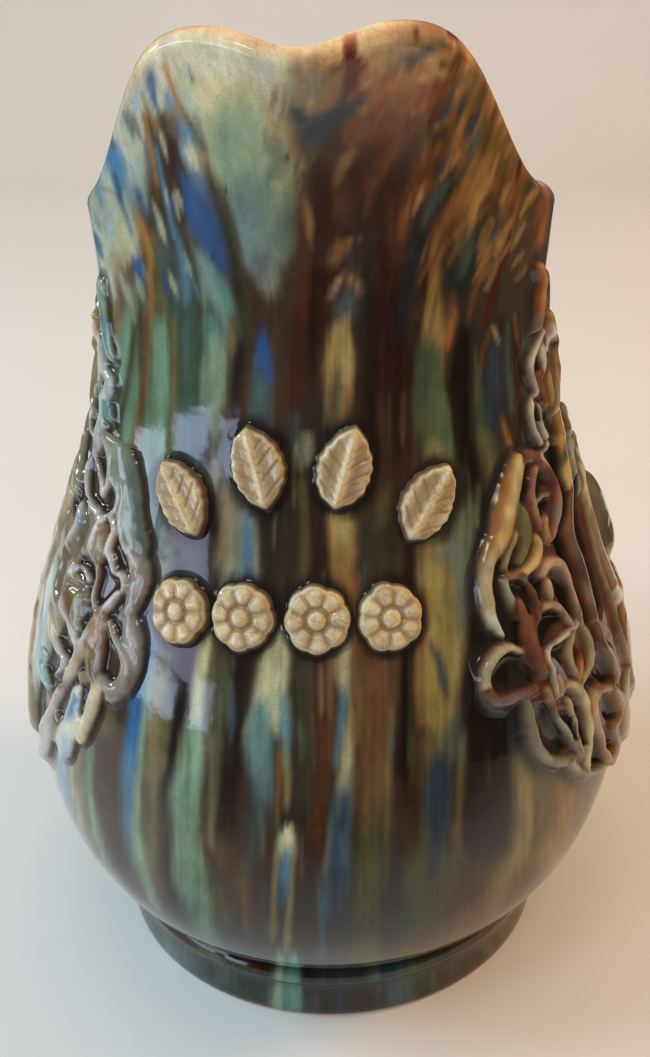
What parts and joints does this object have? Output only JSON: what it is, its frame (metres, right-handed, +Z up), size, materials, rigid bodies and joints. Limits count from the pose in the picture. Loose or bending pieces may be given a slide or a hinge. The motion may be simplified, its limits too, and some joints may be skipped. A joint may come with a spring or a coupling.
{
  "type": "jug",
  "caption": "Pear-shaped glazed earthenware jug with a tall pulled spout, strap handle, turned foot ring, leaf-scroll reliefs on the sides and small applied pads on the front.",
  "frame": {"origin": "on the throwing axis, on the plane the foot ring stands on", "axes": "+Z up, spout towards -Y, handle towards +Y"},
  "size_m": [0.1316, 0.1554, 0.1905],
  "materials": {
    "streaked_glaze": "glossy running glaze in brown, cream, olive green and cobalt, finely crazed",
    "relief_glaze": "glossy glaze, pale on the crests and dark brown in the recesses",
    "pad_glaze": "glossy clear cream glaze, finely crazed"
  },
  "bodies": {
    "root": {"jug_body": "streaked_glaze", "foot_ring": "streaked_glaze", "handle": "streaked_glaze", "right_leaf_cartouche": "relief_glaze", "right_upper_spray": "relief_glaze", "right_oval_boss": "relief_glaze", "left_leaf_cartouche": "relief_glaze", "left_upper_spray": "relief_glaze", "left_oval_boss": "relief_glaze", "arc_pad_1": "pad_glaze", "arc_pad_2": "pad_glaze", "arc_pad_3": "pad_glaze", "arc_pad_4": "pad_glaze", "row_pad_1": "pad_glaze", "row_pad_2": "pad_glaze", "row_pad_3": "pad_glaze", "row_pad_4": "pad_glaze"}
  },
  "joints": []
}
